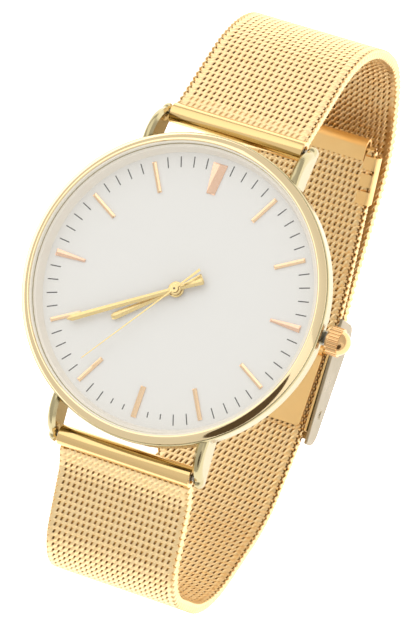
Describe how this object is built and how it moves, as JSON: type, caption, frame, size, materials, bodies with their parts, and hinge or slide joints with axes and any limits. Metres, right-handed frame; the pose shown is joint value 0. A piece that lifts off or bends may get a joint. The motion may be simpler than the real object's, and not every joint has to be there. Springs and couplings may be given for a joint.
{
  "type": "bracelet watch",
  "caption": "Slim round three-hand quartz watch on a woven wire-mesh bracelet, closed and standing on its folding sliding clasp.",
  "frame": {"origin": "on the flat underside of the clasp cover, straight below the centre of the dial", "axes": "+X to 3 o'clock, +Y to 12 o'clock, +Z out of the dial; the dial's top is 48 mm above the origin"},
  "size_m": [0.0434, 0.0778, 0.0507],
  "materials": {
    "gold_case": "polished gold-tone plating",
    "gold_mesh": "woven wire, polished gold-tone plating",
    "rose_marker": "polished rose-gold plating",
    "gold_hand": "polished gold-tone plating",
    "dial_white": "fine matt white lacquer",
    "flange_pearl": "satin",
    "crystal_glass": "clear, polished",
    "steel": "plain",
    "movement_brass": "plain",
    "coil_copper": "enamelled winding",
    "holder_plastic": "moulded",
    "seal_rubber": "moulded",
    "crystal_seal": "moulded"
  },
  "bodies": {
    "case": {"case_middle": "gold_case", "bezel": "gold_case", "crystal": "crystal_glass", "crystal_gasket": "crystal_seal", "rehaut": "flange_pearl", "dial": "dial_white", "marker_01": "rose_marker", "marker_02": "rose_marker", "marker_03": "rose_marker", "marker_04": "rose_marker", "marker_05": "rose_marker", "marker_06": "rose_marker", "marker_07": "rose_marker", "marker_08": "rose_marker", "marker_09": "rose_marker", "marker_10": "rose_marker", "marker_11": "rose_marker", "marker_12": "rose_marker", "main_plate": "movement_brass", "train_bridge": "movement_brass", "battery": "steel", "battery_clamp": "steel", "motor_coil": "coil_copper", "movement_ring": "holder_plastic", "crown_tube": "steel", "case_back": "steel", "back_gasket": "seal_rubber", "spring_bar_12": "steel", "spring_bar_6": "steel"},
    "second": {"second_hand": "gold_hand", "second_arbor": "steel"},
    "minute": {"minute_hand": "gold_hand", "cannon_pinion": "movement_brass"},
    "hour": {"hour_hand": "gold_hand", "hour_wheel": "movement_brass"},
    "clutch": {"clutch_wheel": "steel"},
    "crown": {"crown": "gold_case", "winding_stem": "steel", "crown_gasket": "seal_rubber"},
    "short_strap": {"end_bar_12": "gold_case", "strap_12": "gold_mesh", "clasp_tube": "gold_case"},
    "cover": {"clasp_cover": "gold_case", "cover_pin": "gold_case", "cover_hook": "gold_case"},
    "long_strap": {"end_bar_6": "gold_case", "strap_6": "gold_mesh", "tail_cap": "gold_case", "edge_clip_right": "gold_case", "edge_clip_left": "gold_case", "clasp_slider": "gold_case", "hook_bar": "gold_case", "flap_pin": "gold_case"},
    "flap": {"lock_flap": "gold_case"}
  },
  "joints": [
    {"name": "second_turn", "type": "hinge", "parent": "case", "child": "second", "pos_m": [0, 0, 0.048], "axis": [0, 0, -1], "continuous": true},
    {"name": "minute_turn", "type": "hinge", "parent": "case", "child": "minute", "pos_m": [0, 0, 0.048], "axis": [0, 0, -1], "continuous": true},
    {"name": "hour_turn", "type": "hinge", "parent": "case", "child": "hour", "pos_m": [0, 0, 0.048], "axis": [0, 0, -1], "continuous": true},
    {"name": "crown_spin", "type": "hinge", "parent": "case", "child": "clutch", "pos_m": [0.008, 0, 0.0469], "axis": [1, 0, 0], "continuous": true},
    {"name": "crown_pull", "type": "slide", "parent": "clutch", "child": "crown", "axis": [1, 0, 0], "range_m": [0, 0.0008]},
    {"name": "cover_open", "type": "hinge", "parent": "short_strap", "child": "cover", "pos_m": [0, 0.0049, 0.00175], "axis": [1, 0, 0], "range_deg": [0, 100]},
    {"name": "strap_12_swing", "type": "hinge", "parent": "case", "child": "short_strap", "pos_m": [0, 0.02165, 0.04555], "axis": [1, 0, 0], "range_deg": [0, 30]},
    {"name": "strap_6_swing", "type": "hinge", "parent": "case", "child": "long_strap", "pos_m": [0, -0.02165, 0.04555], "axis": [-1, 0, 0], "range_deg": [0, 10]},
    {"name": "flap_open", "type": "hinge", "parent": "long_strap", "child": "flap", "pos_m": [0, 0.0016, 0.0053], "axis": [-1, 0, 0], "range_deg": [0, 70]}
  ],
  "couplings": [
    {"joint": "minute_turn", "follows": "second_turn", "ratio": 0.016667},
    {"joint": "hour_turn", "follows": "second_turn", "ratio": 0.001389},
    {"joint": "strap_12_swing", "follows": "cover_open", "ratio": 0.3},
    {"joint": "strap_6_swing", "follows": "cover_open", "ratio": 0.1}
  ]
}
